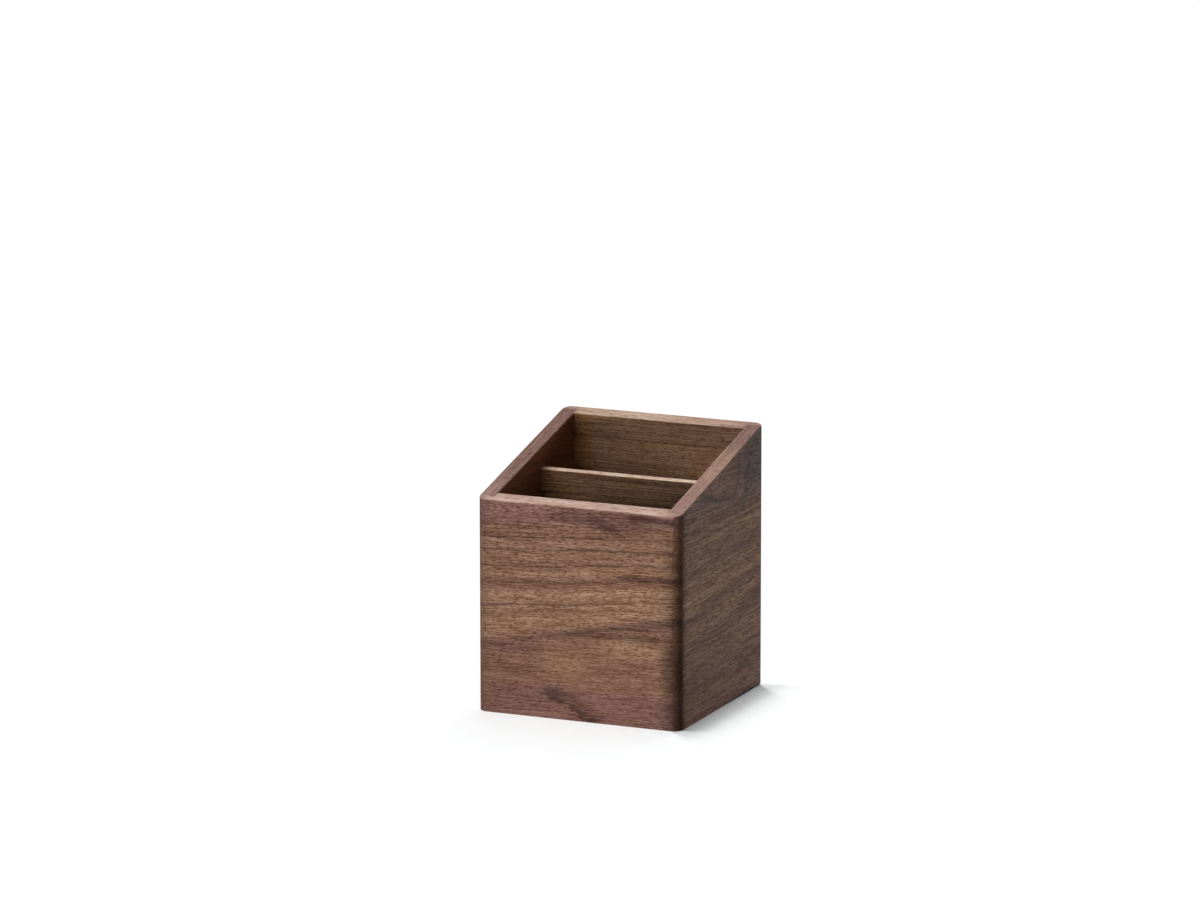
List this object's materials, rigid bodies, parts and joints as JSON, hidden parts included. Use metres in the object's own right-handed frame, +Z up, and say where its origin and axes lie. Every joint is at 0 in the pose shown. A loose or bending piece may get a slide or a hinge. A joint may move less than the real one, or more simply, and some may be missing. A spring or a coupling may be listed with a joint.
{
  "type": "pencil cup",
  "caption": "Square walnut desk cup with a sloping rim, rabbeted corners and a fixed cross divider, for pens, pencils and small tools.",
  "frame": {"origin": "middle of the outline on the underside, where the cup rests on the desk", "axes": "+Z up, -Y towards the low front, +X to the right as seen from the front"},
  "size_m": [0.08, 0.08, 0.0984],
  "materials": {
    "walnut": "oiled satin walnut"
  },
  "bodies": {
    "root": {"front_wall": "walnut", "back_wall": "walnut", "left_wall": "walnut", "right_wall": "walnut", "divider": "walnut", "base_panel": "walnut"}
  },
  "joints": []
}
